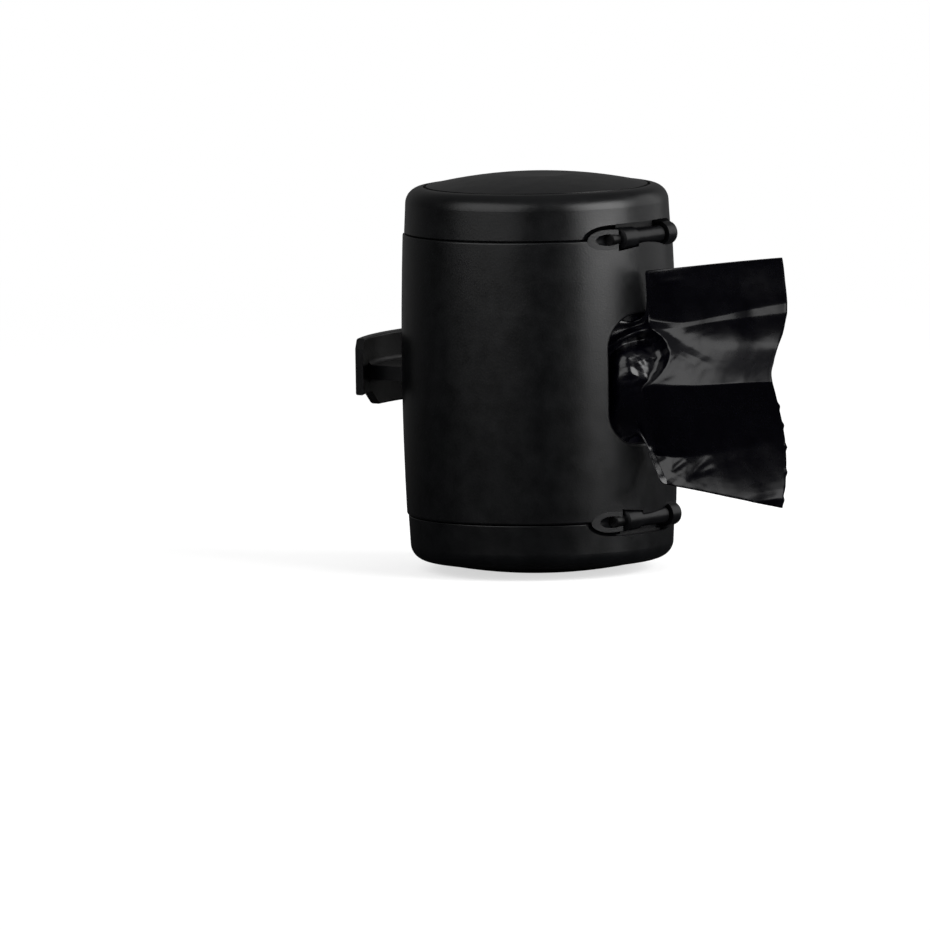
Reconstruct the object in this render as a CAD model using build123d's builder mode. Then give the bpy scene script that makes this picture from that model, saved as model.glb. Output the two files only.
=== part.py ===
"""Leash accessory box: a barrel with a hinged lid on each end, a slot for the waste bags that it
dispenses and a T rail that slides onto a leash. Millimetres. The box stands on its bottom lid,
+Z runs up the barrel, the slot and both hinges face -Y and the rail faces +Y."""
from build123d import *
from math import cos, radians, sin, sqrt
import os

os.makedirs("parts", exist_ok=True)

# Barrel
barrel_length = 57.6          # between the two seams
barrel_end_radius = 27.6      # outside, at each seam
barrel_bulge = 0.6            # how much wider the middle is than the ends
barrel_wall = 1.8             # at the seams, where it is thinnest
rim_round = 0.35

# Slot that the bags come out of
slot_width = 21.0
slot_height = 26.6
slot_corner = 7.0
slot_edge_round = 0.5

# Lids
lid_height = 9.5              # from the seam to the flat ring round the crown
lid_wall = 1.9
lid_step = 0.3                # how far the skirt's edge stands inside the barrel's
lid_taper = 0.5               # how much narrower the skirt is at its shoulder
shoulder_round = 3.4
seam_gap = 0.2
ring_width = 3.5              # from the lid's shoulder in to the groove round the crown
groove_width = 0.6
groove_depth = 0.5
crown_step = 0.1              # the crown's rim above the flat ring
crown_rise = 2.7              # the crown's middle above the flat ring
foot_depth = 0.3              # cut off the crown's middle, so that the box stands
spigot_clearance = 0.3        # from the spigot to the barrel's inside
spigot_wall = 1.5
spigot_reach = 2.0            # how far it goes down into the barrel
spigot_root = 2.6             # how far up inside the lid it is joined on
guide_reach = 4.4             # the taller stretches of spigot beside the hinge
guide_start_angle = 36.0
guide_end_angle = 62.0
tab_base = 7.2                # the snap tabs on each flank
tab_tip = 3.2
tab_reach = 5.8
catch_width = 7.0             # the wide tab opposite the hinge
catch_reach = 4.2
catch_corner = 1.2
scoop_radius = 4.0            # the thumb scoop over the catch
scoop_depth = 0.9
scoop_height = 0.8

# Hinges
pin_radius = 1.2
pin_inset = 1.8               # from the barrel's outside in to the pin's line
pin_start = -9.9              # the end seen in the open bore
pin_end = 9.3                 # the end in the blind bore
pin_clearance = 0.06          # in the lid's knuckle
pin_chamfer = 0.2
boss_radius = 2.1
boss_proud = 0.1              # how far the boss stands out of the barrel's side
boss_back = 3.2               # from the barrel's outside to the back of the boss
boss_gap = 0.9                # from the boss to the lid's arch
lug_start = 7.4               # the blind lug
lug_end = 10.6
lug_radius = 2.4
lug_round = 0.6
collar_start = -7.1           # the lid's thick knuckle
collar_end = -2.1
collar_radius = 2.2
collar_chamfer = 0.35
tongue_end = 6.8              # the lid's thin knuckle runs on from the collar
tongue_radius = 1.75
knuckle_gap = 0.6             # along the pin, from the lid's knuckle to each lug
collar_recess = 0.35          # round the collar, in the barrel's rim
tongue_recess = 0.4
arch_height = 3.1             # of the lid's cut-out between the lugs
arm_offset = 1.0              # from the pin's line back to the arm that carries the knuckle
arm_thickness = 1.4
arm_margin = 0.8              # how much shorter the arm is than the knuckle at each end
arm_head = 1.5

# Leash rail
rail_length = 46.0
flange_width = 14.4
flange_middle = 2.8           # thickness
flange_entry = 2.0            # thickness at the end that the leash slides on at
flange_stop = 4.2             # thickness at the other end
flange_standoff = 5.4         # from the barrel to the flange, at the middle
flange_arch = 49.0            # radius of the flange's underside
flange_round = 0.4
web_thickness = 2.9
web_entry_inset = 4.9
web_stop_inset = 1.5
web_round = 0.9
lead_chamfer = 2.0            # the upper corner of the entry end
tab_length = 6.8              # the narrow tongue at the entry end
tab_step = 2.9
tab_slope = 4.2

# Bag roll
roll_length = 57.0
roll_radius = 15.5
core_radius = 6.5
core_wall = 1.2
roll_seat_gap = 0.3           # over the bottom lid's floor
roll_front_gap = 3.2          # from the roll to the barrel's inside, at the slot

# Bag tail: the film leaves the roll, gathers in the slot and fans out to its torn end
film_thickness = 0.8          # the folded film, as thick as its small creases stand
film_clearance = 0.5          # from the film to the slot's ends
tail_reach = 34.6             # from the barrel's side out to the torn end
tail_height = 50.8            # at the torn end
tail_flare = 44.6             # height just outside the slot
tail_root = 36.0              # height where it leaves the roll
tail_roll_gap = 0.35
tail_gather = 1.6             # the short run from full width into the slot
tail_leave_angle = 48.0       # round the roll from its front
fold_heights = (1.0, 0.79, 0.49, 0.22, 0.0)      # of the sheet, from its lower edge
root_folds = (0.0, 0.3, -0.3, 0.3, 0.0)          # how far each fold stands along X, by the roll
slot_folds = (1.5, 3.4, -8.4, 2.4, -0.5)         # in the slot
flare_folds = (-3.2, -0.6, -6.8, -0.5, -3.0)     # just outside it
end_folds = (-0.6, 0.3, -4.8, 0.2, -0.6)         # and at the torn end

# Places worked out from the sizes
bottom_seam = lid_height + crown_rise - foot_depth
top_seam = bottom_seam + barrel_length
middle = (bottom_seam + top_seam) / 2
barrel_middle_radius = barrel_end_radius + barrel_bulge
barrel_inside = barrel_end_radius - barrel_wall
skirt_radius = barrel_end_radius - lid_step
skirt_inside = skirt_radius - lid_wall
spigot_outside = barrel_inside - spigot_clearance
spigot_inside = spigot_outside - spigot_wall
pin_y = pin_inset - barrel_end_radius
lug_gap_start = collar_start - knuckle_gap
floor_height = crown_rise - foot_depth + lid_wall
roll_y = roll_front_gap + roll_radius - barrel_inside
everything = 4 * barrel_end_radius


def pin_cylinder(seam, radius, start, end, mode=Mode.ADD):
    """A cylinder round one hinge pin's line, in the part that is being built."""
    with Locations(Plane(origin=(start, pin_y, seam), z_dir=(1, 0, 0))):
        Cylinder(radius, end - start, align=(Align.CENTER, Align.CENTER, Align.MIN), mode=mode)


def block(low, high, mode=Mode.ADD):
    """A box between two corners, in the part that is being built."""
    size = Vector(*high) - Vector(*low)
    with Locations((Vector(*high) + Vector(*low)) / 2):
        Box(size.X, size.Y, size.Z, mode=mode)


# The barrel's outside as a full solid, which the rail's foot is fitted to
with BuildPart() as barrel_envelope:
    with BuildSketch(Plane.XZ):
        with BuildLine():
            ThreePointArc(
                (barrel_end_radius, bottom_seam),
                (barrel_middle_radius, middle),
                (barrel_end_radius, top_seam),
            )
            Polyline(
                (barrel_end_radius, top_seam),
                (0, top_seam),
                (0, bottom_seam),
                (barrel_end_radius, bottom_seam),
            )
        make_face()
    revolve(axis=Axis.Z)

# The boss of the hinge is one half-round bar, trimmed to the barrel's side
with BuildPart() as hinge_bosses:
    pin_cylinder(top_seam, boss_radius, -barrel_end_radius, lug_gap_start)
    pin_cylinder(top_seam, boss_radius, lug_start, barrel_end_radius)
    with BuildSketch():
        Circle(barrel_end_radius + boss_proud)
        Circle(barrel_end_radius - boss_back, mode=Mode.SUBTRACT)
    extrude(amount=everything, mode=Mode.INTERSECT)

with BuildPart() as blind_lug:
    pin_cylinder(top_seam, lug_radius, lug_start, lug_end)
    fillet(blind_lug.edges().filter_by(GeomType.CIRCLE).group_by(Axis.X)[-1], lug_round)

with BuildPart() as barrel:
    add(barrel_envelope.part)
    with BuildSketch(Plane.XY.offset(bottom_seam)):
        Circle(barrel_inside)
    extrude(amount=barrel_length, mode=Mode.SUBTRACT)
    fillet(barrel.edges().filter_by(GeomType.CIRCLE), rim_round)
    with BuildSketch(Plane.XZ):
        with Locations((0, middle)):
            RectangleRounded(slot_width, slot_height, slot_corner)
    extrude(amount=everything, mode=Mode.SUBTRACT)
    slot_edges = barrel.edges(Select.LAST).filter_by(
        lambda edge: Vector(edge.center().X, edge.center().Y).length > barrel_middle_radius - barrel_wall / 2
    )
    fillet(slot_edges, slot_edge_round)
    add(hinge_bosses.part)
    add(blind_lug.part)
    pin_cylinder(top_seam, collar_radius + collar_recess, lug_gap_start, collar_end, Mode.SUBTRACT)
    pin_cylinder(top_seam, tongue_radius + tongue_recess, collar_end, lug_start, Mode.SUBTRACT)
    pin_cylinder(top_seam, pin_radius, -barrel_end_radius, pin_end, Mode.SUBTRACT)
    # Both ends are alike, so the lower half is the upper one mirrored
    split(bisect_by=Plane.XY.offset(middle), keep=Keep.TOP)
    mirror(about=Plane.XY.offset(middle))
barrel.part.label = "barrel"
export_step(barrel.part, "parts/barrel.step")

# The rail: an arched flange on a web that grows out of the barrel's back
flange_y = barrel_middle_radius + flange_standoff
rail_half = rail_length / 2
flange_drop = flange_arch - sqrt(flange_arch**2 - rail_half**2)
flange_end_y = flange_y - flange_drop
with BuildPart() as leash_rail:
    with BuildSketch(Plane.XY.offset(middle - flange_width / 2)):
        with BuildLine():
            ThreePointArc((-rail_half, flange_end_y), (0, flange_y), (rail_half, flange_end_y))
            Line((rail_half, flange_end_y), (rail_half, flange_end_y + flange_stop))
            ThreePointArc(
                (rail_half, flange_end_y + flange_stop),
                (0, flange_y + flange_middle),
                (-rail_half, flange_end_y + flange_entry),
            )
            Line((-rail_half, flange_end_y + flange_entry), (-rail_half, flange_end_y))
        make_face()
    extrude(amount=flange_width)
    with BuildSketch(Plane(origin=(0, everything, middle), x_dir=(1, 0, 0), z_dir=(0, -1, 0))):
        with BuildLine():
            Polyline(
                (-rail_half, flange_width / 2 - lead_chamfer),
                (-rail_half + lead_chamfer, flange_width / 2),
                (rail_half, flange_width / 2),
                (rail_half, -flange_width / 2),
                (-rail_half + tab_length + tab_slope, -flange_width / 2),
                (-rail_half + tab_length, tab_step - flange_width / 2),
                (-rail_half, tab_step - flange_width / 2),
                close=True,
            )
        make_face()
    extrude(amount=everything, mode=Mode.INTERSECT)
    fillet(leash_rail.edges().filter_by(GeomType.CIRCLE), flange_round)
    with BuildSketch(Plane.XY.offset(middle - web_thickness / 2)):
        with BuildLine():
            Polyline(
                (-rail_half + web_entry_inset, 0),
                (-rail_half + web_entry_inset, everything),
                (rail_half - web_stop_inset, everything),
                (rail_half - web_stop_inset, 0),
                close=True,
            )
        make_face()
        with Locations((0, flange_y - flange_arch)):
            Circle(flange_arch + flange_entry / 2, mode=Mode.INTERSECT)
    extrude(amount=web_thickness)
    web_corners = leash_rail.edges().filter_by(
        lambda edge: abs(abs(edge.center().Z - middle) - web_thickness / 2) < 0.01
        and edge.center().Y > barrel_middle_radius
        and edge.length > flange_width
    )
    fillet(web_corners, web_round)
    add(barrel_envelope.part, mode=Mode.SUBTRACT)
leash_rail.part.label = "leash_rail"
export_step(leash_rail.part, "parts/leash_rail.step")

# The top lid: a cup with a domed crown, whose spigot drops into the barrel
lid_top = top_seam + lid_height
shoulder_radius = skirt_radius - lid_taper
groove_radius = shoulder_radius - ring_width
crown_radius = groove_radius - groove_width
crown_dome = ((crown_rise - crown_step)**2 + crown_radius**2) / (2 * (crown_rise - crown_step))
foot_radius = sqrt(crown_dome**2 - (crown_dome - foot_depth)**2)
# The collar is the lid's thick knuckle
with BuildPart() as collar:
    pin_cylinder(top_seam, collar_radius, collar_start, collar_end)
    chamfer(collar.edges().filter_by(GeomType.CIRCLE), collar_chamfer)

# The tall stretches of the spigot: two guides beside the hinge, two flank tabs and the catch
arm_start = collar_start + arm_margin
arm_end = tongue_end - arm_margin
arm_front = pin_y + arm_offset
arm_back = arm_front + arm_thickness
arm_top = top_seam + arch_height + arm_head
with BuildPart() as spigot_tabs:
    with BuildSketch(Plane.YZ.offset(-skirt_radius)):
        with BuildLine():
            Polyline(
                (-tab_base / 2, top_seam - spigot_reach),
                (-tab_tip / 2, top_seam - tab_reach),
                (tab_tip / 2, top_seam - tab_reach),
                (tab_base / 2, top_seam - spigot_reach),
                close=True,
            )
        make_face()
    extrude(amount=2 * skirt_radius)
    with BuildSketch(Plane.XZ):
        with Locations((0, top_seam - catch_reach)):
            RectangleRounded(
                catch_width, 2 * (catch_reach - spigot_reach), catch_corner,
                align=(Align.CENTER, Align.MIN),
            )
    extrude(amount=-skirt_radius)
    with BuildSketch(Plane.XY.offset(top_seam - guide_reach)):
        for side in (-1, 1):
            start = Vector(0, -skirt_radius).rotate(Axis.Z, side * guide_start_angle)
            end = Vector(0, -skirt_radius).rotate(Axis.Z, side * guide_end_angle)
            with BuildLine():
                Polyline((0, 0), start, (start + end) * 0.8, end, close=True)
            make_face()
    extrude(amount=guide_reach)
    with BuildSketch(Plane.XY.offset(top_seam - tab_reach)):
        Circle(spigot_outside)
        Circle(spigot_inside, mode=Mode.SUBTRACT)
    extrude(amount=tab_reach, mode=Mode.INTERSECT)

with BuildPart() as top_lid:
    with BuildSketch(Plane.XZ):
        with BuildLine():
            Polyline(
                (skirt_inside, top_seam + seam_gap),
                (skirt_radius, top_seam + seam_gap),
                (shoulder_radius, lid_top),
                (groove_radius, lid_top),
                (groove_radius, lid_top - groove_depth),
                (crown_radius, lid_top - groove_depth),
                (crown_radius, lid_top + crown_step),
            )
            RadiusArc(
                (crown_radius, lid_top + crown_step),
                (foot_radius, lid_top + crown_rise - foot_depth),
                -crown_dome,
            )
            Polyline(
                (foot_radius, lid_top + crown_rise - foot_depth),
                (0, lid_top + crown_rise - foot_depth),
                (0, lid_top - lid_wall),
                (skirt_inside, lid_top - lid_wall),
                (skirt_inside, top_seam + seam_gap),
            )
        make_face()
    revolve(axis=Axis.Z)
    lid_circles = top_lid.edges().filter_by(GeomType.CIRCLE)
    shoulder = lid_circles.filter_by(lambda edge: abs(edge.radius - shoulder_radius) < 0.01)
    fillet(shoulder, shoulder_round)
    ceiling = lid_circles.filter_by(
        lambda edge: abs(edge.radius - skirt_inside) < 0.01 and edge.center().Z > top_seam + lid_height / 2
    )
    fillet(ceiling, shoulder_round - lid_wall)
    with BuildSketch(Plane.XZ):
        with BuildLine():
            Polyline(
                (spigot_inside, top_seam - spigot_reach),
                (spigot_outside, top_seam - spigot_reach),
                (spigot_outside, top_seam + seam_gap),
                (skirt_inside + seam_gap, top_seam + seam_gap),
                (skirt_inside + seam_gap, top_seam + spigot_root),
                (spigot_inside, top_seam + spigot_root),
                close=True,
            )
        make_face()
    revolve(axis=Axis.Z)
    fillet(
        top_lid.edges().filter_by(GeomType.CIRCLE).filter_by(
            lambda edge: abs(edge.radius - skirt_radius) < 0.01
        ),
        seam_gap,
    )
    add(spigot_tabs.part)
    pin_cylinder(top_seam, boss_radius + boss_gap, -skirt_radius, skirt_radius, Mode.SUBTRACT)
    block(
        (lug_gap_start, -everything, top_seam - tab_reach),
        (lug_start, pin_y + arm_offset, top_seam + arch_height),
        Mode.SUBTRACT,
    )
    pin_cylinder(top_seam, tongue_radius, collar_end, tongue_end)
    add(collar.part)
    block((arm_start, arm_front, top_seam), (arm_end, arm_back, arm_top))
    block((arm_start, -skirt_inside - seam_gap, arm_top - arm_head), (arm_end, arm_back, arm_top))
    pin_cylinder(top_seam, pin_radius + pin_clearance, lug_gap_start, lug_start, Mode.SUBTRACT)
    scoop_y = skirt_radius + scoop_radius - scoop_depth
    with Locations(Plane(origin=(0, scoop_y, top_seam + scoop_height), z_dir=(1, 0, 0))):
        Cylinder(scoop_radius, 2 * skirt_radius, mode=Mode.SUBTRACT)
top_lid.part.label = "top_lid"
export_step(top_lid.part, "parts/top_lid.step")

with BuildPart() as bottom_lid:
    add(top_lid.part)
    mirror(top_lid.part, about=Plane.XY.offset(middle), mode=Mode.REPLACE)
bottom_lid.part.label = "bottom_lid"
export_step(bottom_lid.part, "parts/bottom_lid.step")

# The hinge pins
for name, seam in (("top_hinge_pin", top_seam), ("bottom_hinge_pin", bottom_seam)):
    with BuildPart() as hinge_pin:
        pin_cylinder(seam, pin_radius, pin_start, pin_end)
        chamfer(hinge_pin.edges().filter_by(GeomType.CIRCLE), pin_chamfer)
    hinge_pin.part.label = name
    export_step(hinge_pin.part, f"parts/{name}.step")

# The roll of bags and the tube that it is wound on, standing on the bottom lid
roll_foot = Plane(origin=(0, roll_y, floor_height + roll_seat_gap))
with BuildPart() as bag_roll_core:
    with BuildSketch(roll_foot):
        Circle(core_radius)
        Circle(core_radius - core_wall, mode=Mode.SUBTRACT)
    extrude(amount=roll_length)
bag_roll_core.part.label = "bag_roll_core"
export_step(bag_roll_core.part, "parts/bag_roll_core.step")

with BuildPart() as bag_roll_film:
    with BuildSketch(roll_foot):
        Circle(roll_radius)
        Circle(core_radius, mode=Mode.SUBTRACT)
    extrude(amount=roll_length)
bag_roll_film.part.label = "bag_roll_film"
export_step(bag_roll_film.part, "parts/bag_roll_film.step")

# The tail: sections of the folded sheet, square to its way out of the slot
roll_middle = floor_height + roll_seat_gap + roll_length / 2
slot_film = slot_height - 2 * film_clearance
leave_cos = cos(radians(tail_leave_angle))
leave_sin = sin(radians(tail_leave_angle))


def beside_roll(y):
    """Where the film passes at y on its straight way from the roll, clear of it."""
    return -(roll_radius + tail_roll_gap + leave_cos * (y - roll_y)) / leave_sin


leave_y = roll_y - roll_radius * leave_cos - tail_roll_gap
gather_y = -barrel_inside + tail_gather
leave_folds = [beside_roll(leave_y) - fold for fold in root_folds]
gather_folds = [beside_roll(gather_y) - fold for fold in root_folds]
stations = (
    (leave_y, roll_middle, tail_root, leave_folds),
    (gather_y, (roll_middle + middle) / 2, (tail_root + slot_film) / 2, gather_folds),
    (-barrel_inside, middle, slot_film, slot_folds),
    (-barrel_middle_radius - film_clearance, middle, slot_film, slot_folds),
    (-barrel_middle_radius - tail_gather, middle, tail_flare, flare_folds),
    (-barrel_middle_radius - tail_reach, middle, tail_height, end_folds),
)
with BuildPart() as bag_tail:
    for y, height_middle, height, folds in stations:
        front = [
            (fold, height_middle + height * (share - 0.5)) for share, fold in zip(fold_heights, folds)
        ]
        back = [(fold - film_thickness, z) for fold, z in reversed(front)]
        with BuildSketch(Plane.XZ.offset(-y)):
            with BuildLine():
                Polyline(*front, *back, close=True)
            make_face()
    loft(ruled=True)
bag_tail.part.label = "bag_tail"
export_step(bag_tail.part, "parts/bag_tail.step")
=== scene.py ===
# %% [markdown]
# # A leash accessory box in black plastic
#
# The box is a short tube with a hinged lid on each end. It holds a roll of waste bags, and the film
# comes out of a slot in its side. A curved rail on its back slides onto a leash.
#
# The tube, lids, rail and pins come from the CAD model, which is already the right size and shape.
# What plain solids can't show is made here: the plastic's finish, the thin film with its folds, and
# the wound roll. Everything is in metres and in the CAD model's frame, so nothing needs fitting.

# %% Load the model
from math import cos, pi, radians, sin

import bmesh
import bpy
import numpy as np
from mathutils import Matrix, Vector


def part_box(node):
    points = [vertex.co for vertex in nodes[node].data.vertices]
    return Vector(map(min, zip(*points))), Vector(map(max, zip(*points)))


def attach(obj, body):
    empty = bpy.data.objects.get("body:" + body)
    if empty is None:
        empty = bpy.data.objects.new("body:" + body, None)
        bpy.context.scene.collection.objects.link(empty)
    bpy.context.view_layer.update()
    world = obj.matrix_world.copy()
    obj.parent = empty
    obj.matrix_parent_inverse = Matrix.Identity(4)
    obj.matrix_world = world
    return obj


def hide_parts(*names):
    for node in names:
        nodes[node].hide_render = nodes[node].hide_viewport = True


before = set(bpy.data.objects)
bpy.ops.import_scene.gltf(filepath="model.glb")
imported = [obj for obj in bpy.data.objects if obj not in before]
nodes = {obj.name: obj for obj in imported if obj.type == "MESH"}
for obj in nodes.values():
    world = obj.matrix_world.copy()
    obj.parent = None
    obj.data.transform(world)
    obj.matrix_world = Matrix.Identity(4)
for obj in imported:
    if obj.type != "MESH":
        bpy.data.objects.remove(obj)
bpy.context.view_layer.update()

scene = bpy.context.scene
scene.view_settings.view_transform = "Standard"
MM = 0.001
print("CAD nodes:", ", ".join(sorted(nodes)))

# %% [markdown]
# ## The camera
#
# A product photograph is often taken with a long lens from far away, so that upright edges stay
# upright and the near side isn't swollen. This camera stands 3 m off, to the left of the slot and a
# little above it, and is turned by less than a degree. The object sits right of the middle of the
# picture and high in it, so the camera is aimed past it and no lens shift is needed.

# %% Camera
barrel_low, barrel_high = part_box("barrel")
middle = Vector((0, 0, (barrel_low.z + barrel_high.z) / 2))

picture_width = 930                      # pixels
focal_pixels = 14640
distance = 3.0
azimuth, elevation, roll = radians(-52.72), radians(5.5), radians(-0.9)
middle_in_picture = (539.5, 371.2)       # where the tube's middle is, from the top left

back = Vector((sin(azimuth) * cos(elevation), -cos(azimuth) * cos(elevation), sin(elevation)))
right = Vector((cos(azimuth), sin(azimuth), 0))
up = back.cross(right)
turned_right = cos(roll) * right + sin(roll) * up
turned_up = cos(roll) * up - sin(roll) * right
aim = (
    -back
    + turned_right * (picture_width / 2 - middle_in_picture[0]) / focal_pixels
    - turned_up * (picture_width / 2 - middle_in_picture[1]) / focal_pixels
).normalized()

camera_data = bpy.data.cameras.new("camera")
camera = bpy.data.objects.new("camera", camera_data)
scene.collection.objects.link(camera)
scene.camera = camera
side = aim.cross(turned_up).normalized()
camera.matrix_world = Matrix.Translation(middle + back * distance) @ Matrix(
    (side, side.cross(aim), -aim)
).transposed().to_4x4()
camera_data.sensor_width = 36
camera_data.lens = 36 * focal_pixels / picture_width
camera_data.clip_start, camera_data.clip_end = 0.1, 100
print("Lens in mm:", round(camera_data.lens, 1))

# %% [markdown]
# ## Floor and light
#
# Black satin plastic shows its shape almost only by what it mirrors. A soft lamp in front gives it
# a bright upright band, one on the left a weaker and wider band, and a faint third one lifts the
# right edge. The dark between the bands is the room behind the camera. A lamp behind the box would
# show its back better, but the lid and the left rim would glare with it, so there is none.
#
# The world and the far floor are plain white where the picture sees them. Glossy rays find that
# background too, on the far side of the object, or its rim would be cut out of black. The rim of
# such a box still looks dark, so what they find is toned down to mirrored_white, and they see the
# near floor as dark. All other rays see a pale floor and a grey room.

# %% Helpers for shader nodes
def add_node(tree, kind, inputs=(), **settings):
    """Adds a shader node, sets its properties and fills or links its inputs by name or number."""
    node = tree.nodes.new(kind)
    for name, value in settings.items():
        setattr(node, name, value)
    for name, value in dict(inputs).items():
        if isinstance(value, bpy.types.NodeSocket):
            tree.links.new(value, node.inputs[name])
        else:
            node.inputs[name].default_value = value
    return node


def calculate(tree, operation, *numbers):
    """A Math node's result. The numbers go into its inputs in their order."""
    return add_node(
        tree, "ShaderNodeMath", dict(enumerate(numbers)), operation=operation
    ).outputs[0]


def mix_values(tree, factor, low, high):
    """A number between low and high. The Mix node's inputs 2 and 3 are its plain numbers."""
    return add_node(tree, "ShaderNodeMix", {0: factor, 2: low, 3: high}).outputs[0]


def smooth_ramp(tree, value, start, end, low=0.0, high=1.0):
    """Goes gently from low to high while the value goes from start to end."""
    return add_node(
        tree, "ShaderNodeMapRange",
        {"Value": value, "From Min": start, "From Max": end, "To Min": low, "To Max": high},
        interpolation_type="SMOOTHSTEP",
    ).outputs["Result"]


def beyond(tree, direction):
    """How far a direction or a place lies on the far side of the object."""
    return add_node(
        tree, "ShaderNodeVectorMath", {0: direction, 1: tuple(-back)}, operation="DOT_PRODUCT"
    ).outputs["Value"]


def picture_rays(tree, path):
    """1 for rays that the picture is made of, also through something clear, and 0 for others."""
    rays = path.outputs
    return calculate(tree, "MAXIMUM", rays["Is Camera Ray"], rays["Is Transmission Ray"])


print("Node helpers ready")

# %% World
room_light = 0.3           # for diffuse rays
room_dark = 0.006          # for glossy rays that come back towards the camera
mirrored_white = 0.13      # for glossy rays that go on past the object
mirrored_ceiling = 0.2     # for glossy rays that go up

world = bpy.data.worlds.new("studio")
scene.world = world
world.use_nodes = True
tree = world.node_tree
tree.nodes.clear()
path = add_node(tree, "ShaderNodeLightPath")
direction = add_node(tree, "ShaderNodeTexCoord").outputs["Generated"]
behind = smooth_ramp(
    tree, beyond(tree, direction), start=0.1, end=0.9, low=room_dark, high=mirrored_white
)
upwards = add_node(tree, "ShaderNodeSeparateXYZ", {0: direction}).outputs["Z"]
ceiling = smooth_ramp(tree, upwards, start=0.55, end=0.95, high=mirrored_ceiling)
mirrored = calculate(tree, "MAXIMUM", behind, ceiling)
unseen = mix_values(tree, path.outputs["Is Glossy Ray"], room_light, mirrored)
strength = mix_values(tree, picture_rays(tree, path), unseen, 1.0)
background = add_node(
    tree, "ShaderNodeBackground", {"Color": (1, 1, 1, 1), "Strength": strength}
)
add_node(tree, "ShaderNodeOutputWorld", {"Surface": background.outputs["Background"]})
print("World nodes:", len(tree.nodes))

# %% Floor
floor_size = 20            # from its middle to its edge
floor_lift = 0.62          # lifts the pale floor near the object to the background's white
floor_pale, floor_dark = 0.6, 0.02    # its colour for all rays but glossy ones, and for those

floor_mesh = bpy.data.meshes.new("floor")
floor_shape = bmesh.new()
bmesh.ops.create_grid(floor_shape, x_segments=1, y_segments=1, size=floor_size)
floor_shape.to_mesh(floor_mesh)
floor_shape.free()
floor = bpy.data.objects.new("floor", floor_mesh)
scene.collection.objects.link(floor)

floor_paint = bpy.data.materials.new("floor_paint")
floor_paint.use_nodes = True
tree = floor_paint.node_tree
tree.nodes.clear()
path = add_node(tree, "ShaderNodeLightPath")
glossy = path.outputs["Is Glossy Ray"]
place = add_node(tree, "ShaderNodeTexCoord").outputs["Object"]
from_object = add_node(
    tree, "ShaderNodeVectorMath", {0: place}, operation="LENGTH"
).outputs["Value"]
far = smooth_ramp(tree, from_object, start=0.1, end=0.7)
behind = smooth_ramp(tree, beyond(tree, place), start=0.0, end=0.6)
seen = picture_rays(tree, path)
whitened = calculate(tree, "MULTIPLY", seen, far)
mirrored = calculate(tree, "MULTIPLY", glossy, behind)
white_part = calculate(tree, "MAXIMUM", whitened, mirrored)

pale = mix_values(tree, glossy, floor_pale, floor_dark)
paint = add_node(tree, "ShaderNodeBsdfDiffuse", {"Color": pale}).outputs[0]
lift = calculate(tree, "MULTIPLY", seen, floor_lift)
glow = add_node(tree, "ShaderNodeEmission", {"Strength": lift}).outputs[0]
lit = add_node(tree, "ShaderNodeAddShader", {0: paint, 1: glow}).outputs[0]
whiteness = mix_values(tree, glossy, 1.0, mirrored_white)
white = add_node(tree, "ShaderNodeEmission", {"Strength": whiteness}).outputs[0]
mixed = add_node(tree, "ShaderNodeMixShader", {0: white_part, 1: lit, 2: white}).outputs[0]
add_node(tree, "ShaderNodeOutputMaterial", {"Surface": mixed})
floor_mesh.materials.append(floor_paint)
print("Floor across:", floor.dimensions.x, "m")


# %% Lamps
def soft_lamp(name, lamp_azimuth, lamp_elevation, away_by, width, height, watts):
    """A rectangular area lamp that faces the tube's middle, placed as the camera is."""
    lamp_data = bpy.data.lights.new(name, "AREA")
    lamp_data.shape = "RECTANGLE"
    lamp_data.size, lamp_data.size_y = width, height
    lamp_data.energy = watts
    lamp = bpy.data.objects.new(name, lamp_data)
    scene.collection.objects.link(lamp)
    turn, lift = radians(lamp_azimuth), radians(lamp_elevation)
    towards = Vector((sin(turn) * cos(lift), -cos(turn) * cos(lift), sin(lift)))
    lamp.location = middle + towards * away_by
    lamp.rotation_mode = "QUATERNION"
    lamp.rotation_quaternion = towards.to_track_quat("Z", "Y")
    return lamp


key_lamp = soft_lamp("key_lamp", 8, 20, away_by=0.9, width=0.75, height=0.66, watts=11.3)
fill_lamp = soft_lamp("fill_lamp", -98, 29, away_by=1.1, width=1.25, height=0.95, watts=8.2)
edge_lamp = soft_lamp("edge_lamp", 62, 15, away_by=1.0, width=0.8, height=0.8, watts=1.8)
print("Lamps:", key_lamp.name, fill_lamp.name, edge_lamp.name)

# %% [markdown]
# ## Black moulded plastic
#
# The real shell is moulded in a black plastic from a mould with a fine spark-eroded grain. Close up
# it is a field of tiny dents about a quarter of a millimetre across, which turns a mirror into
# satin. Over a few millimetres the gloss wanders a little too, where the plastic cooled unevenly.
#
# Both are noise textures on Object coordinates, so they keep their size on every piece. They are in
# one node group that all the plastic pieces share, and each material gives it its own values.


# %% Helpers for materials
def new_material(name, **sockets):
    """A material with these values on its Principled BSDF. Returns it, its tree and its shader."""
    material = bpy.data.materials.new(name)
    material.use_nodes = True
    shader = material.node_tree.nodes["Principled BSDF"]
    for socket, value in sockets.items():
        shader.inputs[socket.replace("_", " ")].default_value = value
    return material, material.node_tree, shader


def new_group(name, inputs, outputs):
    """A shader node group with float inputs {name: default} and outputs {name: socket type}."""
    group = bpy.data.node_groups.new(name, "ShaderNodeTree")
    sockets = group.interface
    sockets.new_socket("Vector", in_out="INPUT", socket_type="NodeSocketVector")
    for label, default in inputs.items():
        socket = sockets.new_socket(label, in_out="INPUT", socket_type="NodeSocketFloat")
        socket.default_value = default
    for label, kind in outputs.items():
        sockets.new_socket(label, in_out="OUTPUT", socket_type=kind)
    given = group.nodes.new("NodeGroupInput").outputs
    return group, given, group.nodes.new("NodeGroupOutput").inputs


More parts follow.
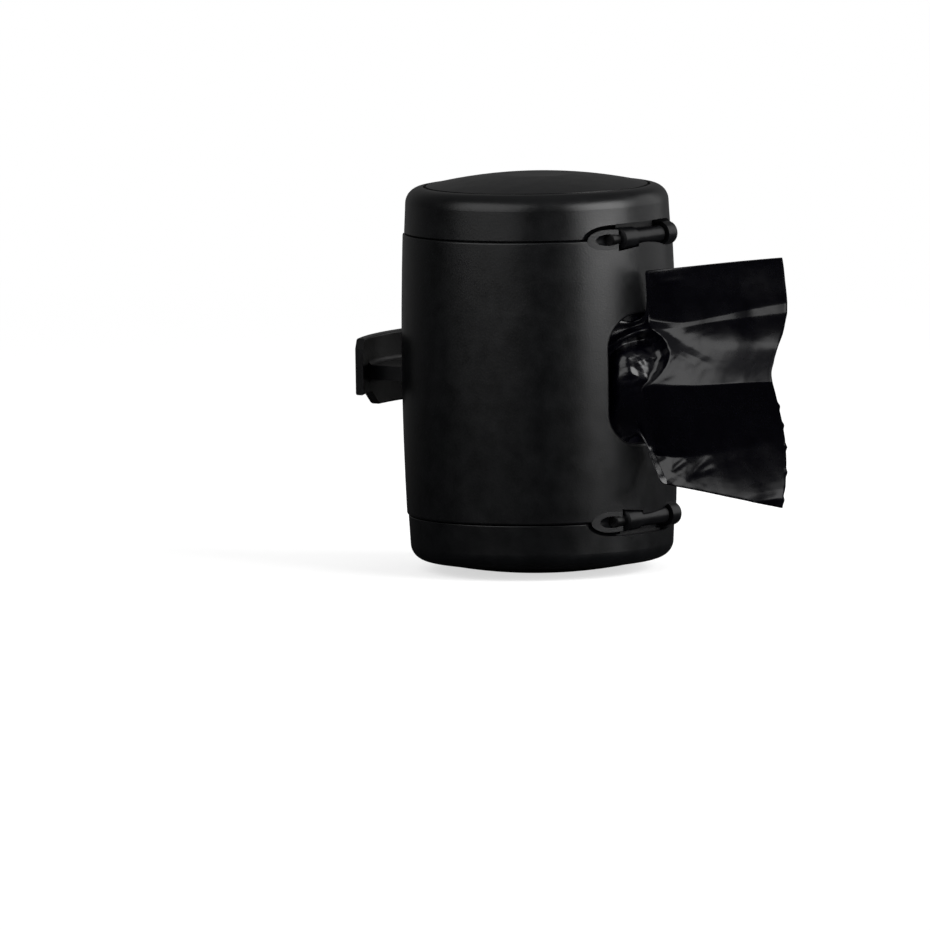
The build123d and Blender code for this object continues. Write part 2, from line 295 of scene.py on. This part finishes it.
def mix_colours(tree, factor, first, second):
    """A colour between two. The Mix node's inputs 6 and 7 are its colours."""
    mixed = add_node(tree, "ShaderNodeMix", {0: factor}, data_type="RGBA")
    for number, colour in ((6, first), (7, second)):
        if isinstance(colour, bpy.types.NodeSocket):
            tree.links.new(colour, mixed.inputs[number])
        else:
            mixed.inputs[number].default_value = (*colour, 1)
    return mixed.outputs[2]


def noise(tree, vector, scale, detail, roughness):
    """The value of a noise texture, from 0 to 1."""
    return add_node(
        tree, "ShaderNodeTexNoise",
        {"Vector": vector, "Scale": scale, "Detail": detail, "Roughness": roughness},
    ).outputs["Fac"]


def spread(tree, value, low, high):
    """Stretches what a noise value mostly is, 0.3 to 0.7, to low and high."""
    return add_node(
        tree, "ShaderNodeMapRange",
        {"Value": value, "From Min": 0.3, "From Max": 0.7, "To Min": low, "To Max": high},
    ).outputs["Result"]


def dress(names, material):
    """Gives CAD pieces one material, in all of their slots."""
    for name in names:
        for material_slot in nodes[name].material_slots:
            material_slot.material = material


print("Material helpers ready")

# %% Mould grain
grain, given, out = new_group(
    "mould_grain",
    {"Dents": 4000.0, "Patches": 260.0, "Shine Low": 0.4, "Shine High": 0.5},
    {"Height": "NodeSocketFloat", "Roughness": "NodeSocketFloat", "Tone": "NodeSocketFloat"},
)
dents = noise(grain, given["Vector"], given["Dents"], detail=1.5, roughness=0.6)
patches = noise(grain, given["Vector"], given["Patches"], detail=3.0, roughness=0.6)
shine = spread(grain, patches, given["Shine Low"], given["Shine High"])
tone = spread(grain, patches, low=0.0, high=1.0)
grain.links.new(dents, out["Height"])
grain.links.new(shine, out["Roughness"])
grain.links.new(tone, out["Tone"])
print("Group:", grain.name, "with", len(grain.nodes), "nodes")


# %% Plastic materials
def plastic(name, dark, light, shine_low, shine_high, dents, depth):
    """Black plastic with mould grain. Depth is the grain's, in millimetres."""
    material, tree, shader = new_material(name, Specular_IOR_Level=0.34)
    place = add_node(tree, "ShaderNodeTexCoord").outputs["Object"]
    surface = add_node(
        tree, "ShaderNodeGroup",
        {"Vector": place, "Dents": dents, "Shine Low": shine_low, "Shine High": shine_high},
        node_tree=grain,
    )
    colour = mix_colours(tree, surface.outputs["Tone"], dark, light)
    bump = add_node(
        tree, "ShaderNodeBump", {"Height": surface.outputs["Height"], "Distance": depth * MM}
    )
    tree.links.new(colour, shader.inputs["Base Color"])
    tree.links.new(surface.outputs["Roughness"], shader.inputs["Roughness"])
    tree.links.new(bump.outputs["Normal"], shader.inputs["Normal"])
    return material


satin_black = plastic(
    "satin_black", (0.0012, 0.0013, 0.0016), (0.0022, 0.0024, 0.0029),
    shine_low=0.3, shine_high=0.37, dents=2600.0, depth=0.016,
)
# The pins are black plastic. Their colour is also a little darker than the shell's, as painted
# shade, so their ends look shaded deep in the bores.
pin_black_bore_shade = plastic(
    "pin_black_bore_shade", (0.0008, 0.0008, 0.0009), (0.0014, 0.0014, 0.0016),
    shine_low=0.26, shine_high=0.34, dents=5200.0, depth=0.006,
)
dress(("barrel", "leash_rail", "top_lid", "bottom_lid"), satin_black)
dress(("top_hinge_pin", "bottom_hinge_pin"), pin_black_bore_shade)
print("Materials:", satin_black.name, pin_black_bore_shade.name)

# %% [markdown]
# ## The roll of bags
#
# A roll is one long strip of film wound round a cardboard tube. The tube is paper strip wound on a
# slant, so its material has a spiral seam: the angle round the axis plus the height makes a ramp,
# and its fraction is 0 along one line that climbs round the tube. Fibres are a noise that is
# stretched along the strip.

# %% Cardboard tube
film_low, film_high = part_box("bag_roll_film")
core_low, core_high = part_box("bag_roll_core")
roll_centre = (film_low + film_high) / 2
roll_radius = (film_high.x - film_low.x) / 2
core_radius = (core_high.x - core_low.x) / 2
strip_climb = 24 * MM      # how far the seam climbs in one turn
seam_share = 0.03          # of the strip's width

grey_board, tree, shader = new_material("grey_board", Roughness=0.85, Specular_IOR_Level=0.3)
place = add_node(tree, "ShaderNodeTexCoord").outputs["Object"]
from_axis = add_node(
    tree, "ShaderNodeVectorMath", {0: place, 1: (roll_centre.x, roll_centre.y, 0)},
    operation="SUBTRACT",
).outputs["Vector"]
parts = add_node(tree, "ShaderNodeSeparateXYZ", {0: from_axis}).outputs
turns = calculate(
    tree, "MULTIPLY", calculate(tree, "ARCTAN2", parts["Y"], parts["X"]), 1 / (2 * pi)
)
climb = calculate(tree, "MULTIPLY_ADD", parts["Z"], 1 / strip_climb, turns)
across_strip = calculate(tree, "FRACT", climb)
seam = add_node(
    tree, "ShaderNodeMapRange", {"Value": across_strip, "From Min": 0.0, "From Max": seam_share}
).outputs["Result"]
print("Core radius in mm:", round(core_radius / MM, 2))

# %% Cardboard colours
along_strip = add_node(
    tree, "ShaderNodeMapping", {"Vector": from_axis, "Scale": (1, 1, 6)}
).outputs[0]
fibres = noise(tree, along_strip, scale=900.0, detail=4.0, roughness=0.7)
board_tone = spread(tree, fibres, low=0.0, high=1.0)
board_colour = mix_colours(tree, board_tone, (0.23, 0.19, 0.14), (0.36, 0.31, 0.24))
seamed = mix_colours(tree, seam, (0.12, 0.10, 0.08), board_colour)
relief = calculate(tree, "MULTIPLY_ADD", fibres, 0.2, seam)
bump = add_node(tree, "ShaderNodeBump", {"Height": relief, "Distance": 0.1 * MM})
tree.links.new(seamed, shader.inputs["Base Color"])
tree.links.new(bump.outputs["Normal"], shader.inputs["Normal"])
dress(("bag_roll_core",), grey_board)
print("Material:", grey_board.name)

# %% [markdown]
# The bags are thin black film, shinier than the shell. Film that has been pulled has haze in it, in
# patches, and fine streaks along the pull. The patches set the roughness, and the streaks are a
# noise stretched along Y, the way that the film is pulled out, in a very shallow bump.

# %% Film material
film_black, tree, shader = new_material("film_black", Specular_IOR_Level=0.45)
place = add_node(tree, "ShaderNodeTexCoord").outputs["Object"]
haze = noise(tree, place, scale=220.0, detail=3.0, roughness=0.6)
along_pull = add_node(
    tree, "ShaderNodeMapping", {"Vector": place, "Scale": (1, 0.4, 1)}
).outputs[0]
streaks = noise(tree, along_pull, scale=600.0, detail=1.0, roughness=0.5)
film_tone = spread(tree, haze, low=0.0, high=1.0)
film_shine = spread(tree, haze, low=0.22, high=0.3)
film_colour = mix_colours(
    tree, film_tone, (0.0002, 0.0001, 0.0013), (0.0004, 0.0003, 0.0019)
)
bump = add_node(tree, "ShaderNodeBump", {"Height": streaks, "Distance": 0.025 * MM})
tree.links.new(film_colour, shader.inputs["Base Color"])
tree.links.new(film_shine, shader.inputs["Roughness"])
tree.links.new(bump.outputs["Normal"], shader.inputs["Normal"])
print("Material:", film_black.name)

# %% [markdown]
# The film on the tube is a plain drum from the side. From its end the turns show as fine rings, no
# two of them quite level. One profile with those steps in it, spun round the tube's middle, gives
# both.

# %% Profile of the wound roll
uneven = np.random.default_rng(11)
ring_count = 20            # the rings that show on an end
ring_gap = 0.12            # between two of them, as a share of a ring's width


def wound_end(level, outwards):
    """Points of the roll's end from the core to its side: each ring is a small step in height."""
    edges = np.linspace(core_radius, roll_radius, ring_count + 1)
    points = []
    for inner, outer in zip(edges[:-1], edges[1:]):
        sunk = outwards * uneven.uniform(0.02, 0.34) * MM
        gap = ring_gap * (outer - inner)
        points += [(inner + gap, level - sunk), (outer - gap, level - sunk)]
    return points


bottom_ring = wound_end(film_low.z, -1)
side_heights = np.linspace(film_low.z, film_high.z, 24)[1:-1]
side_wave = [(roll_radius - uneven.uniform(0, 0.12) * MM, height) for height in side_heights]
roll_profile = bottom_ring + side_wave + wound_end(film_high.z, 1)[::-1]
print("Points of the profile:", len(roll_profile))

# %% Wound roll
roll_shape = bmesh.new()
corners = [roll_shape.verts.new((radius, 0, height)) for radius, height in roll_profile]
for first, second in zip(corners, corners[1:] + corners[:1]):
    roll_shape.edges.new((first, second))
bmesh.ops.spin(
    roll_shape, geom=roll_shape.verts[:] + roll_shape.edges[:], cent=(0, 0, 0), axis=(0, 0, 1),
    angle=2 * pi, steps=96, use_merge=True,
)
bmesh.ops.recalc_face_normals(roll_shape, faces=roll_shape.faces)
bmesh.ops.translate(roll_shape, verts=roll_shape.verts, vec=(roll_centre.x, roll_centre.y, 0))


def new_piece(name, shape, material):
    """Makes a smooth object from a bmesh, with one material, and frees the bmesh."""
    mesh = bpy.data.meshes.new(name)
    shape.to_mesh(mesh)
    shape.free()
    mesh.materials.append(material)
    mesh.shade_smooth()
    piece = bpy.data.objects.new(name, mesh)
    scene.collection.objects.link(piece)
    print(name, "has", len(mesh.polygons), "faces")
    return piece


wound_roll = new_piece("wound_roll", roll_shape, film_black)
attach(wound_roll, "bag_roll")
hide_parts("bag_roll_film")

# %% [markdown]
# ## The film
#
# Thin film that is pulled out of a slot doesn't drape like cloth. It stays in broad flat panels
# that meet in sharp folds, and it is only bunched up where the slot squeezes it. On this one a fold
# stands open at the slot like a small pocket, with crumpled film in it.
#
# A cloth simulation would give some folds, but not these. So the sheet starts as a coarse cage with
# one point where each fold line crosses each section. A Subdivision Surface rounds the cage, and
# creases on some of its edges keep those folds sharp.

# %% Cage of the film
fold_shares = (
    0.97, 1.0, 0.955, 0.83, 0.76, 0.70, 0.62, 0.54, 0.47, 0.39, 0.27, 0.17, 0.09, 0.0, 0.03
)


def gathered(out, place, mid, span, depth):
    """A section inside the tube: fold lines at their share of the height, in and out by turns."""
    return [
        (out + (depth if index % 2 else -depth), place, mid + span * (share - 0.5))
        for index, share in enumerate(fold_shares)
    ]


# Each section is a list of fold lines, from the top edge down, as (x, y, height above the slot's
# middle) in millimetres. The first and last lines are the two edges, which are turned over.
film_sections = [
    gathered(-13.4, -14.9, mid=-7.6, span=47.0, depth=0.2),
    gathered(-11.4, -18.2, mid=-6.8, span=44.0, depth=0.4),
    gathered(-7.0, -22.6, mid=-2.0, span=32.0, depth=1.2),
    [   # in the slot
        (-2, -25, 10.4), (-2.6, -25, 11.2), (-3.2, -25.2, 10.8), (-2.4, -24.4, 9.6),
        (-7.6, -26.2, 8.6), (-4, -24.5, 7), (-9.6, -28, 6.6), (-10.1, -27.6, 4.2),
        (-10.4, -28, 1.8), (-9.8, -27.7, -1.3), (-8.3, -26.8, -4.6), (-4.6, -26.4, -8.4),
        (-4.6, -26.8, -9.8), (-3.4, -26.6, -10.8), (-2.6, -26.4, -10.3),
    ],
    [   # at the slot's face
        (-0.6, -26.4, 11.4), (-1.4, -26.6, 12.2), (-2, -26.8, 11.8), (-1, -26.2, 10.3),
        (-5.5, -27.2, 9.2), (0, -24.8, 7.1), (-5, -29.8, 6.1), (-5.5, -30.4, 3.7),
        (-6.1, -31.6, 1.4), (-7.4, -29.5, -1.4), (-6, -28.1, -5.7), (-2.6, -28.2, -10.6),
        (-3.2, -28.8, -11.7), (-2.4, -28.8, -12.6), (-1.6, -28.7, -12),
    ],
    [   # just outside the slot
        (0, -28.7, 12.2), (-0.6, -28.7, 13), (-1.2, -28.8, 12.6), (-0.4, -28.6, 10.8),
        (-3, -28.4, 9.7), (1.2, -27.5, 8.2), (-1.8, -31.5, 6.7), (-1.9, -32.8, 4.6),
        (-3.6, -32.8, 1.9), (-6.2, -30.3, -1.5), (-4.6, -29.3, -6.6), (-2.4, -29.3, -13.8),
        (-3.1, -30.3, -17), (-3, -32.7, -21.4), (-2, -32.9, -20.4),
    ],
    [   # where the film spreads
        (-1, -29.1, 20.3), (-1.9, -28.8, 22), (-2.2, -29.2, 21.2), (-0.8, -29.1, 11.9),
        (-2.3, -30.7, 10.2), (-2.5, -32.8, 9.3), (-2.9, -34.9, 7.8), (-3.9, -36.6, 5.1),
        (-5.4, -36.1, 2.2), (-6.2, -32.9, -0.8), (-4, -31.6, -7.8), (-0.6, -29.9, -15.9),
        (-1.7, -30.9, -17.2), (-1.7, -33.4, -21.5), (-1, -33.5, -20.2),
    ],
    [   # 9 mm out
        (-0.6, -35.2, 21.1), (-1.5, -35.9, 22.8), (-1.7, -36, 22.1), (-0.2, -34.7, 11.3),
        (-0.3, -35.8, 10.3), (-0.4, -36.3, 9), (-1.1, -37.3, 7.4), (-2.6, -38.9, 4.7),
        (-4.1, -39.5, 1.8), (-5, -39.1, -0.8), (-2.8, -35.8, -8.1), (-0.3, -33.8, -16),
        (-0.8, -34.6, -18.6), (-1.3, -34.4, -21.7), (-1, -35, -20.2),
    ],
    [   # 15 mm out
        (-0.2, -41.5, 21.9), (-1, -42.1, 23.6), (-0.9, -42.1, 22.4), (0.1, -41.1, 12.2),
        (0, -41.2, 11.6), (0.1, -41, 9.5), (-0.1, -41.2, 7.4), (-1.5, -42.1, 4.5),
        (-3.1, -43.3, 1.7), (-4.2, -44.1, -0.6), (-1.8, -42.1, -7.9), (0, -40.7, -15.3),
        (-0.1, -40.7, -18.7), (-0.7, -41.1, -22.5), (-0.1, -40.6, -21),
    ],
    [   # 24 mm out
        (0.4, -51.2, 22.9), (-0.4, -51.8, 24.8), (-0.1, -51.5, 23.4), (0.6, -50.9, 14.6),
        (0.3, -51.1, 13.1), (0.5, -50.9, 9.9), (0.1, -51.1, 7.1), (-1.5, -52.2, 4.4),
        (-3, -53.3, 2.1), (-3.8, -53.9, 0.4), (-1.3, -51.9, -6.4), (0.1, -50.7, -13.3),
        (0.3, -50.5, -19.9), (-0.3, -50.8, -23.8), (0.2, -50.5, -22.1),
    ],
    [   # torn end
        (0.7, -61.8, 24.1), (0.1, -62, 25.9), (0.3, -62.1, 24.8), (0.9, -62.6, 16.8),
        (0.6, -62.7, 14.6), (0.7, -61.7, 10.9), (0.4, -60.4, 7.9), (-1.7, -60.8, 5),
        (-3.2, -61.4, 2.7), (-4, -62.1, 1), (-0.6, -61.7, -5.8), (0.2, -62, -10.8),
        (0.6, -62.1, -18.1), (-0.2, -61.6, -25), (0.5, -61.3, -23.2),
    ],
]
cage_points = np.array(film_sections)
cage_points[:, :, 2] += middle.z / MM
section_count, line_count = cage_points.shape[:2]
print("Cage of the film:", section_count, "sections of", line_count, "fold lines")

# %% Creases of the cage
# Which fold lines are sharp: from which section, to which section and how much
sharp_lines = {
    1: (3, 10, 1.0), 3: (6, 10, 0.8), 4: (6, 10, 0.7), 6: (6, 10, 0.3),
    9: (5, 10, 0.85), 11: (6, 10, 0.7), 13: (3, 10, 1.0),
}
spread_section = 6         # the sheet turns sharply where it leaves the slot
film_cage = bmesh.new()
bmesh.ops.create_grid(film_cage, x_segments=line_count - 1, y_segments=section_count - 1, size=0.5)
crease_layer = film_cage.edges.layers.float.new("crease_edge")
along_layer = film_cage.verts.layers.float.new("along")
across_layer = film_cage.verts.layers.float.new("across")
for corner in film_cage.verts:
    line = round((corner.co.x + 0.5) * (line_count - 1))
    section = round((corner.co.y + 0.5) * (section_count - 1))
    corner[along_layer], corner[across_layer] = section, line
    corner.co = Vector(cage_points[section, line]) * MM
for edge in film_cage.edges:
    first, second = edge.verts
    sections = sorted((round(first[along_layer]), round(second[along_layer])))
    line = round(first[across_layer])
    if sections[0] == sections[1]:
        edge[crease_layer] = 0.9 if sections[0] == spread_section else 0.0
    elif line in sharp_lines:
        start, end, sharpness = sharp_lines[line]
        edge[crease_layer] = sharpness if start <= sections[0] and sections[1] <= end else 0.0
cage_piece = new_piece("film_cage", film_cage, film_black)
rounding = cage_piece.modifiers.new("rounding", "SUBSURF")
rounding.levels = rounding.render_levels = 4
depsgraph = bpy.context.evaluated_depsgraph_get()
film_mesh = bpy.data.meshes.new_from_object(cage_piece.evaluated_get(depsgraph))
bpy.data.objects.remove(cage_piece)
print("Rounded film has", len(film_mesh.vertices), "points")


# %% [markdown]
# The panels aren't quite flat. Straight shallow creases run over them in all directions, and near
# the slot there are more and sharper ones. A few pinched ones stand up as thin ridges that catch
# the light. The torn end is left with small nubs where the perforation held longest.

# %% Small creases
def zigzag(turns):
    """A triangle wave from -1 to 1, whose straight runs and sharp turns suit creased film."""
    return 4 * np.abs(turns - np.floor(turns + 0.5)) - 1


def creases(places, widths, seed, count, longest, steepness):
    """Straight creases in random directions over the sheet, in mm. The shorter the finer."""
    chance = np.random.default_rng(seed)
    height = np.zeros(len(places))
    for _ in range(count):
        length = longest * chance.uniform(0.3, 1.0)
        direction = chance.uniform(0, pi)
        reach = places * cos(direction) + widths * sin(direction)
        turns = reach / length + chance.uniform(0, 1)
        height += zigzag(turns) * length * steepness / count ** 0.5
    return height


def read_points(mesh, name, size):
    """A point attribute of a mesh as a numpy array."""
    values = np.zeros(len(mesh.vertices) * size, dtype=np.float32)
    mesh.attributes[name].data.foreach_get("vector" if size == 3 else "value", values)
    return values.reshape(-1, size) if size == 3 else values


points = read_points(film_mesh, "position", 3) / MM
along = read_points(film_mesh, "along", 1)         # which section a point is at
across = read_points(film_mesh, "across", 1)       # and which fold line
free = np.clip((along - 2.0) / 1.5, 0, 1)          # 0 by the roll, 1 from the slot on
points[:, 0] += 0.5 * free * creases(
    points[:, 1], points[:, 2], seed=5, count=9, longest=16.0, steepness=0.02
)

# The film is gathered on the fold lines 5 to 8 and past line 11, less and less outside the slot.
gathered_part = np.clip(2.5 - np.abs(across - 6.5), 0, 1) + np.clip(across - 10.5, 0, 1)
near_slot = free * np.clip((8.5 - along) / 2.5, 0, 1) * gathered_part
points[:, 0] += near_slot * creases(
    points[:, 1], points[:, 2], seed=8, count=8, longest=5.0, steepness=0.04
)

# The pocket is on the lines 6 to 8, from inside the slot to just outside it.
in_pocket = np.clip(3.0 - 2.0 * np.abs(along - 4.3), 0, 1)
crumpled = in_pocket * np.clip(2.4 - np.abs(across - 7.2), 0, 1)
points[:, 1] += crumpled * creases(
    points[:, 0], points[:, 2], seed=2, count=4, longest=5.0, steepness=0.08
)
print("Points that are crumpled:", np.count_nonzero(crumpled))


# %% Ridges
def pinched(flat, start, end, width):
    """A ridge along a straight line on the sheet, 1 at its middle, that runs out at both ends."""
    run = np.subtract(end, start)
    share = np.clip((flat - start) @ run / (run @ run), 0, 1)
    away = np.linalg.norm(flat - start - share[:, None] * run, axis=1) / width
    return np.clip(1 - away, 0, 1) * 4 * share * (1 - share)


# Each ridge is start, end, width and height in mm. Its ends lie on the sheet, as y and the height
# above the slot's middle.
ridges = [
    ((-34.0, -19.0), (-37.2, -16.4), 0.9, 0.25), ((-37.6, -20.6), (-43.4, -15.2), 1.0, 0.3),
    ((-39.4, -19.6), (-44.6, -17.4), 0.9, 0.16), ((-31.6, 19.6), (-38.6, 20.6), 0.8, 0.12),
    ((-52.0, -24.6), (-63.6, -22.4), 1.4, 0.5), ((-37.0, 6.4), (-46.0, 3.2), 1.2, 0.16),
]
flat = points[:, 1:] - (0, middle.z / MM)
for start, end, width, height in ridges:
    points[:, 0] -= free * height * pinched(flat, start, end, width)
print("Ridges:", len(ridges))

# %% Torn end
nub_places = (-4.1, -8.1, -12.6, -17.8, -23.4)     # in mm above the slot's middle
nub_width, nub_reach = 0.9, 0.45                   # half its width, and how far it stands out
nubs = [np.clip(1 - np.abs(flat[:, 1] - place) / nub_width, 0, 1) for place in nub_places]
torn = np.clip(along - 9.0, 0, 1) ** 12            # 1 at the very end
ragged = creases(points[:, 2], points[:, 0], seed=3, count=5, longest=9.0, steepness=0.02)
points[:, 1] -= torn * (nub_reach * np.sum(nubs, axis=0) + ragged)
film_mesh.vertices.foreach_set("co", (points * MM).ravel())
film_mesh.update()
print("Nubs:", len(nubs))

# %% Film sheet
film_shape = bmesh.new()
film_shape.from_mesh(film_mesh)
bpy.data.meshes.remove(film_mesh)
film_area = sum(face.calc_area() for face in film_shape.faces)
film_sheet = new_piece("film_sheet", film_shape, film_black)
thickness = film_sheet.modifiers.new("thickness", "SOLIDIFY")
thickness.thickness = 0.1 * MM
thickness.offset = 0
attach(film_sheet, "barrel")
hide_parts("bag_tail")
